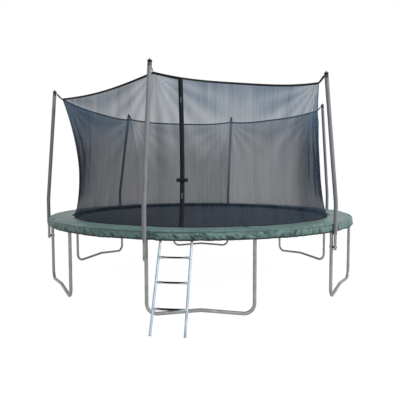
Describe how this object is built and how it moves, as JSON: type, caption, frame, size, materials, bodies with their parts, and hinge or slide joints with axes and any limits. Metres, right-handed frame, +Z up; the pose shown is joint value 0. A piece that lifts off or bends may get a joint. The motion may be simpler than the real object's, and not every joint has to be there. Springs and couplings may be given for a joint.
{
  "type": "trampoline",
  "caption": "Round garden trampoline on a tubular ring with W-shaped legs, a sprung mat, a padded cover, leaning poles with a zipped safety net and a hook-on ladder.",
  "frame": {"origin": "on the ground under the middle of the whole, ladder included; the ring's centre lies 0.242 m behind it", "axes": "+Z up, -Y towards the side with the door and the ladder, +X to the right seen from there"},
  "size_m": [4.2798, 4.7636, 2.5821],
  "materials": {
    "galvanised_tube": "satin zinc-coated steel tube",
    "zinc_steel": "bright zinc-plated steel",
    "spring_steel": "bright zinc-plated spring wire",
    "mat_fabric": "matt woven polypropylene",
    "webbing": "matt polypropylene webbing",
    "pad_cover": "soft-sheen coated fabric over foam",
    "foam_sleeve": "matt fabric-faced foam sleeve",
    "black_plastic": "fine-grained moulded plastic",
    "black_steel": "satin black coated steel",
    "net_mesh": "matt knitted mesh",
    "zip_tape": "matt woven tape",
    "slider_metal": "polished die-cast metal",
    "buckle_plastic": "smooth moulded plastic",
    "ladder_tube": "pale blue-grey coated steel tube",
    "ladder_tread": "pale blue-grey coated steel"
  },
  "bodies": {
    "frame": {"rail_01": "galvanised_tube", "rail_02": "galvanised_tube", "rail_03": "galvanised_tube", "rail_04": "galvanised_tube", "rail_05": "galvanised_tube", "rail_06": "galvanised_tube", "rail_07": "galvanised_tube", "rail_08": "galvanised_tube", "rail_09": "galvanised_tube", "rail_10": "galvanised_tube", "rail_11": "galvanised_tube", "rail_12": "galvanised_tube", "leg_base_1": "galvanised_tube", "leg_base_2": "galvanised_tube", "leg_base_3": "galvanised_tube", "leg_base_4": "galvanised_tube", "leg_base_5": "galvanised_tube", "leg_base_6": "galvanised_tube", "leg_uprights_1": "galvanised_tube", "leg_uprights_2": "galvanised_tube", "leg_uprights_3": "galvanised_tube", "leg_uprights_4": "galvanised_tube", "leg_uprights_5": "galvanised_tube", "leg_uprights_6": "galvanised_tube", "frame_screws": "zinc_steel", "springs": "spring_steel", "pad_1": "pad_cover", "pad_2": "pad_cover", "pad_3": "pad_cover", "pad_4": "pad_cover", "pad_5": "pad_cover", "pad_6": "pad_cover", "ladder_skirt": "pad_cover", "pole_lower_tubes": "galvanised_tube", "pole_upper_tubes": "galvanised_tube", "pole_sleeves": "foam_sleeve", "pole_caps": "black_plastic", "pole_spacers": "black_plastic", "pole_bolts": "black_steel", "net_panel_1": "net_mesh", "net_panel_2": "net_mesh", "net_panel_3": "net_mesh", "net_panel_4": "net_mesh", "net_panel_5": "net_mesh", "net_panel_6": "net_mesh", "corner_straps": "webbing", "door_zip": "zip_tape", "buckle_socket": "buckle_plastic"},
    "mat": {"mat": "mat_fabric", "mat_border": "webbing", "v_rings": "spring_steel"},
    "ladder": {"ladder_rail_left": "ladder_tube", "ladder_rail_right": "ladder_tube", "ladder_rungs": "ladder_tread", "ladder_hooks": "zinc_steel", "ladder_feet": "black_plastic", "ladder_bolts": "zinc_steel"},
    "upper_zip_slider": {"zip_slider_upper": "slider_metal"},
    "lower_zip_slider": {"zip_slider_lower": "slider_metal"},
    "buckle": {"buckle_plug": "buckle_plastic"}
  },
  "joints": [
    {"name": "mat_bounce", "type": "slide", "parent": "frame", "child": "mat", "axis": [0, 0, 1], "range_m": [-0.2, 0], "stiffness_N_per_m": 5000, "springref_m": 0.12, "deforming": ["springs"]},
    {"name": "ladder_swing", "type": "hinge", "parent": "frame", "child": "ladder", "pos_m": [-0.23455, -1.84907, 0.825], "axis": [-0.9938, 0.1115, 0], "range_deg": [0, 25], "deforming": ["ladder_skirt"]},
    {"name": "upper_zip", "type": "slide", "parent": "frame", "child": "upper_zip_slider", "axis": [-0.0162, -0.1444, 0.9894], "range_m": [-0.2, 0.15]},
    {"name": "lower_zip", "type": "slide", "parent": "frame", "child": "lower_zip_slider", "axis": [0.0063, 0.0563, 0.9984], "range_m": [-0.02, 0.25]},
    {"name": "buckle_release", "type": "slide", "parent": "frame", "child": "buckle", "axis": [0.9938, -0.1115, 0], "range_m": [0, 0.04]}
  ]
}
